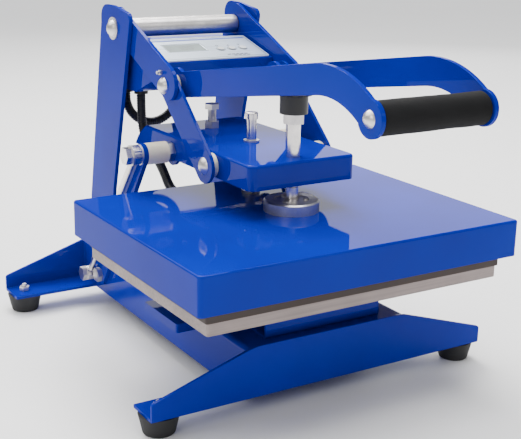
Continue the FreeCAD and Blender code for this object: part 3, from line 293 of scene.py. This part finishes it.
fine_grain = {"grain_scale": 600.0, "depth": 0.02 * MM}
materials = {
    "blue_paint": powder_coat("blue_paint", rgb(0.0, 0.014, 0.320), rgb(0.0, 0.011, 0.270)),
    "zinc_steel": plated_steel("zinc_steel", rgb(0.82, 0.79, 0.78), 0.28, 0.46),
    "bright_chrome": plated_steel("bright_chrome", rgb(0.90, 0.86, 0.84), 0.17, 0.30, scratch=0.15),
    "table_aluminium": milled_aluminium("table_aluminium", rgb(0.29, 0.245, 0.235)),
    "platen_aluminium": milled_aluminium("platen_aluminium", rgb(0.42, 0.41, 0.40)),
    "silicone": silicone("silicone"),
    "black_rubber": moulded("black_rubber", rgb(0.009, 0.009, 0.010), 0.72, 700.0, depth=0.08 * MM),
    "grip_foam": foam("grip_foam"),
    "nylon": nylon("nylon"),
    "bronze": plated_steel("bronze", rgb(0.60, 0.40, 0.20), 0.28, 0.45),
    "black_plastic": moulded("black_plastic", rgb(0.006, 0.006, 0.007), 0.42),
    "panel_grey": panel_film("panel_grey"),
    "display": moulded("display", rgb(0.26, 0.31, 0.31), 0.14, 300.0, depth=0.01 * MM, coat=0.8),
    "key_cap": moulded("key_cap", rgb(0.58, 0.60, 0.62), 0.34, coat=0.2, **fine_grain),
    "switch_red": moulded("switch_red", rgb(0.42, 0.03, 0.02), 0.30, coat=0.3, **fine_grain),
    "circuit_board": moulded("circuit_board", rgb(0.02, 0.12, 0.05), 0.45),
    "mineral_board": mineral("mineral_board"),
    "heater_steel": plated_steel("heater_steel", rgb(0.32, 0.29, 0.27), 0.4, 0.6),
}
for part in frame["record"]["subparts"]:
    mesh = nodes[part["node"]].data
    mesh.materials.clear()
    mesh.materials.append(materials[part["material_slot"]])
materials["print_dark"] = moulded("print_dark", rgb(0.02, 0.03, 0.06), 0.4)
materials["print_blue"] = moulded("print_blue", rgb(0.01, 0.06, 0.35), 0.35)
materials["segment"] = moulded("segment", rgb(0.06, 0.07, 0.08), 0.35)


# ---------------------------------------------------------------- mesh helpers
def piece(name, verts, faces, material, body, smooth=True):
    """A new mesh object in the frame's own coordinates that rides on a body, if one is given."""
    mesh = bpy.data.meshes.new(name)
    mesh.from_pydata([tuple(v) for v in verts], [], faces)
    mesh.materials.append(materials[material])
    for polygon in mesh.polygons:
        polygon.use_smooth = smooth
    mesh.update()
    made = bpy.data.objects.new(name, mesh)
    bpy.context.scene.collection.objects.link(made)
    if body:
        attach(made, body)
    return made


def circle(sides):
    """Cosine and sine at even steps round a full turn."""
    angles = [2.0 * math.pi * step / sides for step in range(sides)]
    return [(math.cos(angle), math.sin(angle)) for angle in angles]


def tube_rings(rings, closed_ends=True):
    """Vertices and faces of a tube through equal rings of points."""
    verts = [point for ring in rings for point in ring]
    count = len(rings[0])
    faces = []
    for row in range(len(rings) - 1):
        for i in range(count):
            j = (i + 1) % count
            first = row * count
            faces.append((first + i, first + j, first + count + j, first + count + i))
    if closed_ends:
        faces.append(tuple(reversed(range(count))))
        last = (len(rings) - 1) * count
        faces.append(tuple(range(last, last + count)))
    return verts, faces


def turned_out(faces):
    """The same faces, pointing the other way."""
    return [tuple(reversed(face)) for face in faces]


def soften(name, width):
    """Round a CAD node's sharp edges in its look with a small bevel."""
    made = nodes[name]
    mesh = made.data
    for polygon in mesh.polygons:
        polygon.use_smooth = True
    for layer in ("custom_normal", "sharp_edge", "sharp_face"):
        if layer in mesh.attributes:
            mesh.attributes.remove(mesh.attributes[layer])
    weld = made.modifiers.new("weld", "WELD")
    weld.merge_threshold = 0.01 * MM
    flat = made.modifiers.new("planar", "DECIMATE")
    flat.decimate_type = "DISSOLVE"
    flat.angle_limit = math.radians(0.4)
    bevel = made.modifiers.new("bevel", "BEVEL")
    bevel.width = width
    bevel.segments = 2
    bevel.limit_method = "ANGLE"
    bevel.angle_limit = math.radians(38)
    bevel.use_clamp_overlap = False
    bevel.harden_normals = True
    bevel.miter_outer = "MITER_ARC"


# How far the edges of each plate or sheet are rounded, in millimetres.
plates = {
    "left_upright": 0.6, "right_upright": 0.6, "left_crank_plate": 0.6, "right_crank_plate": 0.6,
    "left_link": 0.6, "right_link": 0.6, "left_handle_arm": 0.6, "right_handle_arm": 0.6,
    "support_legs": 0.6, "front_foot": 0.6, "rear_foot": 0.6, "lower_table": 0.5, "silicone_pad": 0.6,
    "heat_platen": 0.5, "control_panel": 0.3, "upright_brace": 0.5,
}
for name, width in plates.items():
    soften(name, width * MM)


# ---------------------------------------------------------------- foam grip
def grip_outline(half, radius):
    """Places along the sleeve, each with its radius there, from the left end to the right."""
    round_end = 2.2 * MM
    corner_steps = 6
    body_steps = 90
    left_end = [(-half, radius - round_end - 1.2 * MM)]
    for step in range(corner_steps + 1):
        angle = math.radians(90.0 * step / corner_steps)
        x = -half + round_end * (1 - math.cos(angle))
        left_end.append((x, radius - round_end + round_end * math.sin(angle)))
    straight = 2 * half - 2 * round_end
    body = [(-half + round_end + straight * step / body_steps, radius) for step in range(1, body_steps)]
    right_end = [(-x, end_radius) for x, end_radius in reversed(left_end)]
    return left_end + body + right_end


def foam_grip():
    """Foam sleeve, a little uneven, with rounded ends and a shallow hand wear."""
    low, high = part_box("foam_grip")
    centre = (low + high) / 2.0
    radius = (high.z - low.z) / 2.0
    half = (high.x - low.x) / 2.0
    unevenness = 0.25 * MM
    mean_sink = 0.2 * MM
    wear_depth = 0.35 * MM
    worn = 0.3 * half
    lumps_along = 60.0
    lumps_round = 1.5
    rings = []
    for x, outline in grip_outline(half, radius):
        wear = wear_depth * math.exp(-((x - worn) / worn) ** 2)
        ring = []
        for cosine, sine in circle(72):
            place = Vector((x * lumps_along, cosine * lumps_round, sine * lumps_round))
            uneven = min(0.0, noise.noise(place) * unevenness - mean_sink)
            ring.append(centre + Vector((x, 0, 0)) + Vector((0.0, cosine, sine)) * (outline + uneven - wear))
        rings.append(ring)
    verts, faces = tube_rings(rings)
    made = piece("grip_sleeve", verts, turned_out(faces), "grip_foam", "handle")
    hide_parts("foam_grip")


foam_grip()


# ---------------------------------------------------------------- conduits
conduit_radius = 6.0 * MM
rib_pitch = 3.2 * MM
rib_depth = 0.9 * MM


def spline_points(name, points, resolution):
    """Points along a smooth spline that is guided by the route's points."""
    curve = bpy.data.curves.new(name, "CURVE")
    curve.dimensions = "3D"
    curve.resolution_u = resolution
    spline = curve.splines.new("NURBS")
    spline.points.add(len(points) - 1)
    for target, point in zip(spline.points, points):
        target.co = (*point, 1.0)
    spline.order_u = 3
    spline.use_endpoint_u = True
    holder = bpy.data.objects.new(name, curve)
    bpy.context.scene.collection.objects.link(holder)
    bpy.context.view_layer.update()
    mesh = bpy.data.meshes.new_from_object(holder)
    line = [v.co.copy() for v in mesh.vertices]
    bpy.data.objects.remove(holder)
    bpy.data.meshes.remove(mesh)
    return line


def even(line, spacing):
    """The same line, sampled at an even spacing, and its length."""
    lengths = [0.0]
    for start, end in zip(line, line[1:]):
        lengths.append(lengths[-1] + (end - start).length)
    count = round(lengths[-1] / spacing)
    result = []
    index = 0
    for step in range(count + 1):
        at = lengths[-1] * step / count
        while index < len(line) - 2 and lengths[index + 1] < at:
            index += 1
        part = (at - lengths[index]) / (lengths[index + 1] - lengths[index])
        result.append(line[index].lerp(line[index + 1], min(1.0, part)))
    return result, lengths[-1]


def corrugated(name, line):
    """Corrugated conduit mesh along a line that starts downwards."""
    rings_per_rib = 6
    rib_power = 0.6
    path, length = even(line, rib_pitch / rings_per_rib)
    side = Vector((1.0, 0.0, 0.0))
    rings = []
    for index, point in enumerate(path):
        ahead = path[min(index + 1, len(path) - 1)] - path[max(index - 1, 0)]
        ahead.normalize()
        side = (side - ahead * side.dot(ahead)).normalized()
        other = ahead.cross(side)
        phase = (index % rings_per_rib) / rings_per_rib
        ridge = 0.5 + 0.5 * math.cos(2.0 * math.pi * phase)
        radius = conduit_radius - rib_depth * (1.0 - ridge ** rib_power)
        rings.append([point + side * (radius * cosine) + other * (radius * sine)
                      for cosine, sine in circle(24)])
    verts, faces = tube_rings(rings)
    return piece(name, verts, faces, "black_plastic", None), path, length


def heater_conduit():
    """Conduit from the control box, behind the tray, to the platen's cover, along the CAD's route."""
    gland_low, gland_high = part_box("platen_gland")
    end = Vector(((gland_low.x + gland_high.x) / 2.0, gland_high.y, (gland_low.z + gland_high.z) / 2.0))
    box_gland_y = 134.0 * MM
    start = Vector((end.x, box_gland_y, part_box("heater_conduit")[1].z))
    route = [
        start,
        start + Vector((0, 0, -26)) * MM,
        start + Vector((0.5, -4, -51)) * MM,
        start + Vector((2, -20, -70)) * MM,
        end + Vector((3, 68, 31)) * MM,
        end + Vector((2, 47, 17)) * MM,
        end + Vector((0.5, 33, 5.5)) * MM,
        end + Vector((0, 17, 0)) * MM,
        end,
    ]
    made, path, length = corrugated("platen_conduit", spline_points("conduit_line", route, 24))
    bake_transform(made)
    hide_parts("heater_conduit")


def wiring_loop():
    """Short conduit that hangs in a loop from two glands under the control box."""
    low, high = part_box("wiring_loop")
    left = low.x + conduit_radius
    right = high.x - conduit_radius
    y = (low.y + high.y) / 2.0
    reach = (right - left) / 2.0
    middle = (left + right) / 2.0
    straight_end = 6.0 * MM
    bend = high.z - straight_end
    bend_steps = 40
    line = [Vector((left, y, high.z))]
    for step in range(bend_steps + 1):
        angle = math.pi * step / bend_steps
        line.append(Vector((middle - reach * math.cos(angle), y, bend - reach * math.sin(angle))))
    line.append(Vector((right, y, high.z)))
    made, path, length = corrugated("looped_conduit", line)
    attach(made, "frame")
    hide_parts("wiring_loop")


heater_conduit()
wiring_loop()


# ---------------------------------------------------------------- weld beads
def weld_bead(name, start, end, normal, body):
    """Row of overlapping scales along a joint between two plates."""
    start, end, normal = Vector(start), Vector(end), Vector(normal).normalized()
    along = (end - start).normalized()
    across = along.cross(normal)
    length = (end - start).length
    radius = 1.8 * MM
    scale_length = 1.5 * MM
    rings_per_scale = 3
    thin_end = 0.35
    taper_rate = 12.0
    waver = 0.3 * MM
    count = int(length / scale_length) * rings_per_scale
    rings = []
    for step in range(count + 1):
        part = step / count
        taper = min(1.0, part * taper_rate, (1.0 - part) * taper_rate)
        ripple = 0.86 + 0.14 * math.cos(2 * math.pi * (step % rings_per_scale) / rings_per_scale)
        bead = radius * (thin_end + (1.0 - thin_end) * math.sqrt(taper)) * ripple
        wobble = across * (noise.noise(start * 50.0 + along * (part * length * 200.0)) * waver)
        centre = start + along * (part * length) + wobble
        rings.append([centre + across * (bead * cosine) + normal * (bead * sine)
                      for cosine, sine in circle(10)])
    verts, faces = tube_rings(rings)
    return piece(name, verts, faces, "blue_paint", body)


def collar(name, centre, radius, normal, body):
    """Closed weld bead round a shaft that runs along X."""
    bead_radius = 1.6 * MM
    rings = []
    for index, (cosine, sine) in enumerate(circle(24)):
        outward = Vector((0.0, cosine, sine))
        bead = bead_radius * (0.9 + 0.1 * math.cos(index * 2.1))
        point = centre + outward * radius
        rings.append([point + outward * (bead * over) + normal * (bead * beside)
                      for over, beside in circle(8)])
    verts, faces = tube_rings(rings + [rings[0]], closed_ends=False)
    return piece(name, verts, faces, "blue_paint", body)


def channel_welds(tag, side):
    """Upright beads where the base channel meets the two feet."""
    low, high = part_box("base_channel")
    x = side * high.x
    foot = low.z + 8 * MM
    top = high.z - 6 * MM
    for end, y, inward in (("front", low.y, 1), ("rear", high.y, -1)):
        seam = y + inward * 0.5 * MM
        weld_bead(f"{tag}_{end}_channel_weld", (x, seam, foot), (x, seam, top), (side, inward, 0), "frame")


def upright_weld(tag, side):
    """Bead along the outer foot of an upright."""
    low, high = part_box(f"{tag}_upright")
    x = low.x if side < 0 else high.x
    z = low.z + 0.3 * MM
    front = 156 * MM
    rear = high.y - 4 * MM
    weld_bead(f"{tag}_upright_weld", (x, front, z), (x, rear, z), (side, 0, 1), "frame")


def knee_weld(tag, side):
    """Bead round the knee shaft on the inner face of a handle arm."""
    low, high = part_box(f"{tag}_handle_arm")
    knee = Vector(joints["link_swing"]["pos_m"])
    inner = high.x if side < 0 else low.x
    shaft_radius = 9 * MM
    collar(f"{tag}_knee_weld", Vector((inner, knee.y, knee.z)), shaft_radius, Vector((-side, 0, 0)), "handle")


for tag, side in (("left", -1), ("right", 1)):
    channel_welds(tag, side)
    upright_weld(tag, side)
    knee_weld(tag, side)


# ---------------------------------------------------------------- fascia graphics
# Outlines on the fascia are lists of (across, up) points.
outward = (Vector(joints["set_key_press"]["axis"]) * -1.0).normalized()
across = Vector((1, 0, 0))
up = Vector((0.0, outward.z, -outward.y))
print_lift = 0.02 * MM
line_width = 0.5 * MM


def extent(name, direction):
    """Least and greatest place of a CAD node along a direction."""
    places = [v.co.dot(direction) for v in nodes[name].data.vertices]
    return min(places), max(places)


fascia_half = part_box("control_panel")[1].x
fascia_foot, fascia_top = extent("control_panel", up)
fascia_face = extent("control_panel", outward)[1]
margin = 3.0 * MM


def decal(name, outlines, material, face, thickness=0.12 * MM):
    """Thin printed shapes that lie on a face of the fascia."""
    verts = []
    faces = []
    for outline in outlines:
        first = len(verts)
        count = len(outline)
        for height in (print_lift, print_lift + thickness):
            verts += [outward * face + across * u + up * v + outward * height for u, v in outline]
        faces.append(tuple(first + count + i for i in range(count)))
        faces.append(tuple(first + i for i in reversed(range(count))))
        for i in range(count):
            j = (i + 1) % count
            faces.append((first + i, first + j, first + count + j, first + count + i))
    return piece(name, verts, faces, material, "frame", smooth=False)


def bar(left, right, foot, top):
    return [(left, foot), (right, foot), (right, top), (left, top)]


def line_inside(left, right, foot, top):
    """Four bars just inside a rectangle."""
    return [
        bar(left, right, foot, foot + line_width),
        bar(left, right, top - line_width, top),
        bar(left, left + line_width, foot, top),
        bar(right - line_width, right, foot, top),
    ]


def line_outside(left, right, foot, top):
    """Four bars just outside a rectangle."""
    return [
        bar(left - line_width, right + line_width, foot - line_width, foot),
        bar(left - line_width, right + line_width, top, top + line_width),
        bar(left - line_width, left, foot, top),
        bar(right, right + line_width, foot, top),
    ]


def ring_outlines(u, v, inner, outer, count=28):
    """A flat ring as a row of four-sided outlines."""
    points = circle(count)
    shapes = []
    for (cosine, sine), (next_cosine, next_sine) in zip(points, points[1:] + points[:1]):
        shapes.append([
            (u + inner * cosine, v + inner * sine),
            (u + outer * cosine, v + outer * sine),
            (u + outer * next_cosine, v + outer * next_sine),
            (u + inner * next_cosine, v + inner * next_sine),
        ])
    return shapes


def fascia_lines():
    """Line round the fascia and line round the display."""
    half = fascia_half - margin
    lines = line_inside(-half, half, fascia_foot + margin, fascia_top - margin)
    low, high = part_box("display_window")
    foot, top = extent("display_window", up)
    gap = 1.2 * MM
    lines += line_outside(low.x - gap, high.x + gap, foot - gap, top + gap)
    decal("fascia_lines", lines, "print_dark", fascia_face)


def fascia_band():
    """Blue band under the fascia's upper edge."""
    half = fascia_half - margin - 2 * MM
    top = fascia_top - margin - 3 * MM
    height = 4 * MM
    decal("fascia_band", [bar(-half, half, top - height, top)], "print_blue", fascia_face)


def fascia_marks():
    """Rings round the keys, the signs over them and two lines of plain bars."""
    key_low, key_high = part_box("set_button")
    key_v = ((key_low + key_high) / 2.0).dot(up)
    set_x, up_x, down_x = (
        sum(corner.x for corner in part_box(name)) / 2.0 for name in ("set_button", "up_button", "down_button")
    )
    marks = []
    for key_x in (set_x, up_x, down_x):
        marks += ring_outlines(key_x, key_v, 5.6 * MM, 6.1 * MM)
    size = 2.0 * MM
    foot = key_v + 9.5 * MM
    peak = foot + 1.6 * size
    marks.append([(up_x - size, foot), (up_x + size, foot), (up_x, peak)])
    marks.append([(down_x - size, peak), (down_x, foot), (down_x + size, peak)])
    marks += ring_outlines(set_x, foot + size * 0.8, 1.2 * MM, 1.9 * MM, count=20)
    word_step = 6
    word_length = 4.6
    word_height = 2.0 * MM
    for start, drop in ((22, 0.0), (30, 3.4)):
        base = fascia_foot + (9.0 - drop) * MM
        for word in range(start, 50, word_step):
            marks.append(bar(word * MM, (word + word_length) * MM, base, base + word_height))
    decal("fascia_marks", marks, "print_dark", fascia_face)


# Bars that each numeral lights, by the usual seven letters.
segments = {"0": "abcdef", "1": "bc", "8": "abcdefg"}


def digit(symbol, u, v, width, height, stroke):
    """Seven-segment numeral as short bars, from its lower left corner."""
    half = height / 2.0
    gap = stroke * 0.3
    corner = stroke * 0.6
    left = (u, u + stroke)
    right = (u + width - stroke, u + width)
    middle = (u + stroke, u + width - stroke)
    lower = (v + corner, v + half - gap)
    upper = (v + half + gap, v + height - corner)
    places = {
        "a": bar(*middle, v + height - stroke, v + height),
        "b": bar(*right, *upper),
        "c": bar(*right, *lower),
        "d": bar(*middle, v, v + stroke),
        "e": bar(*left, *lower),
        "f": bar(*left, *upper),
        "g": bar(*middle, v + half - stroke / 2, v + half + stroke / 2),
    }
    return [places[name] for name in segments[symbol]]


def display_digits():
    """Numerals in the middle of the display window."""
    low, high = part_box("display_window")
    window_foot, window_top = extent("display_window", up)
    width = 6.0 * MM
    height = 10.5 * MM
    stroke = 1.1 * MM
    space = 2.0 * MM
    left = (low.x + high.x) / 2.0 - 1.5 * width - space
    foot = (window_foot + window_top) / 2.0 - height / 2.0
    shapes = []
    for index, symbol in enumerate("180"):
        shapes += digit(symbol, left + index * (width + space), foot, width, height, stroke)
    decal("display_digits", shapes, "segment", extent("display_window", outward)[1], thickness=0.05 * MM)


fascia_lines()
fascia_band()
fascia_marks()
display_digits()


# ---------------------------------------------------------------- screw thread
def stop_bolt_thread():
    """Helical ridge round the stop bolt, above its nuts."""
    bolt_low, bolt_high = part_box("stop_bolt")
    x = (bolt_low.x + bolt_high.x) / 2.0
    y = (bolt_low.y + bolt_high.y) / 2.0
    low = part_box("rocker_tray")[1].z + 8.5 * MM
    high = bolt_high.z - 7.0 * MM
    radius = 5.0 * MM
    root = radius - 0.1 * MM
    pitch = 1.5 * MM
    depth = 0.35 * MM
    half_width = Vector((0, 0, 0.42 * pitch))
    turns = (high - low) / pitch
    steps = int(turns * 28)
    fade_rate = turns * 2.0
    rings = []
    for step in range(steps + 1):
        part = step / steps
        angle = 2.0 * math.pi * turns * part
        direction = Vector((math.cos(angle), math.sin(angle), 0.0))
        base = Vector((x, y, low + (high - low) * part))
        ridge = depth * min(1.0, part * fade_rate, (1.0 - part) * fade_rate)
        rings.append([
            base + direction * root - half_width,
            base + direction * (radius + ridge),
            base + direction * root + half_width,
        ])
    verts, faces = tube_rings(rings)
    piece("stop_bolt_thread", verts, turned_out(faces), "zinc_steel", "rocker")


stop_bolt_thread()


# ---------------------------------------------------------------- floor, light, camera
def area_light(name, place, target, size, power, colour=(1, 1, 1)):
    light = bpy.data.lights.new(name, "AREA")
    light.shape = "RECTANGLE"
    light.size, light.size_y = size
    light.energy = power
    light.color = colour
    made = bpy.data.objects.new(name, light)
    made.location = place
    made.rotation_euler = (Vector(target) - Vector(place)).to_track_quat("-Z", "Y").to_euler()
    bpy.context.scene.collection.objects.link(made)


def ceiling_light(direction, strength):
    """Wide, even light from above, as under a bright ceiling."""
    light = bpy.data.lights.new("ceiling", "SUN")
    light.energy = strength
    light.angle = math.radians(70.0)
    made = bpy.data.objects.new("ceiling", light)
    made.rotation_euler = Vector(direction).to_track_quat("Z", "Y").to_euler()
    bpy.context.scene.collection.objects.link(made)


def floor():
    """Pale, faintly clouded floor."""
    graph = Graph("pale_floor")
    patch = graph.noise(scale=3.0)
    light, shade = rgb(0.92, 0.92, 0.92), rgb(0.89, 0.89, 0.895)
    reach = 6
    corners = [(-reach, -reach, 0), (reach, -reach, 0), (reach, reach, 0), (-reach, reach, 0)]
    mesh = bpy.data.meshes.new("floor")
    mesh.from_pydata(corners, [], [(0, 1, 2, 3)])
    mesh.materials.append(graph.finish(Base_Color=patch.ramp(0.0, 1.0).mix(light, shade), Roughness=0.6))
    made = bpy.data.objects.new("floor", mesh)
    bpy.context.scene.collection.objects.link(made)


def studio():
    world = bpy.data.worlds.new("studio")
    world.use_nodes = True
    background = world.node_tree.nodes["Background"]
    background.inputs["Color"].default_value = (0.96, 0.98, 1.0, 1.0)
    background.inputs["Strength"].default_value = 0.42
    bpy.context.scene.world = world
    middle = (0.0, -0.08, 0.2)
    warm, warmer = (1.0, 0.98, 0.95), (1.0, 0.98, 0.94)
    area_light("key", (0.2, 1.5, 2.2), middle, size=(1.6, 1.2), power=80.0, colour=warm)
    area_light("left_front", (-1.9, -1.3, 1.5), middle, size=(0.9, 0.9), power=12.0, colour=warmer)
    area_light("front", (0.9, -2.0, 1.5), middle, size=(1.0, 1.0), power=6.0)
    area_light("top", (0.4, -0.2, 2.4), middle, size=(1.4, 1.4), power=45.0)
    area_light("rear_panel", (2.0, 2.4, 1.0), middle, size=(1.8, 0.9), power=15.0)
    ceiling_light((-0.3, 0.5, 1.0), 3.2)
    floor()


def camera():
    """Camera at the height and angle of a standing view from the front left."""
    azimuth = math.radians(-31.74)
    elevation = math.radians(16.05)
    roll = math.radians(1.02)
    level = math.cos(elevation)
    back = Vector((math.sin(azimuth) * level, -math.cos(azimuth) * level, math.sin(elevation)))
    right = Vector((math.cos(azimuth), math.sin(azimuth), 0.0))
    upward = back.cross(right)
    rolled_right = right * math.cos(roll) + upward * math.sin(roll)
    rolled_up = upward * math.cos(roll) - right * math.sin(roll)
    data = bpy.data.cameras.new("camera")
    data.sensor_width = 36.0
    data.lens = 72.68
    data.clip_start = 0.02
    made = bpy.data.objects.new("camera", data)
    matrix = Matrix((rolled_right, rolled_up, back)).transposed().to_4x4()
    matrix.translation = Vector((-0.6297, -1.0907, 0.5116))
    made.matrix_world = matrix
    bpy.context.scene.collection.objects.link(made)
    bpy.context.scene.camera = made


studio()
camera()
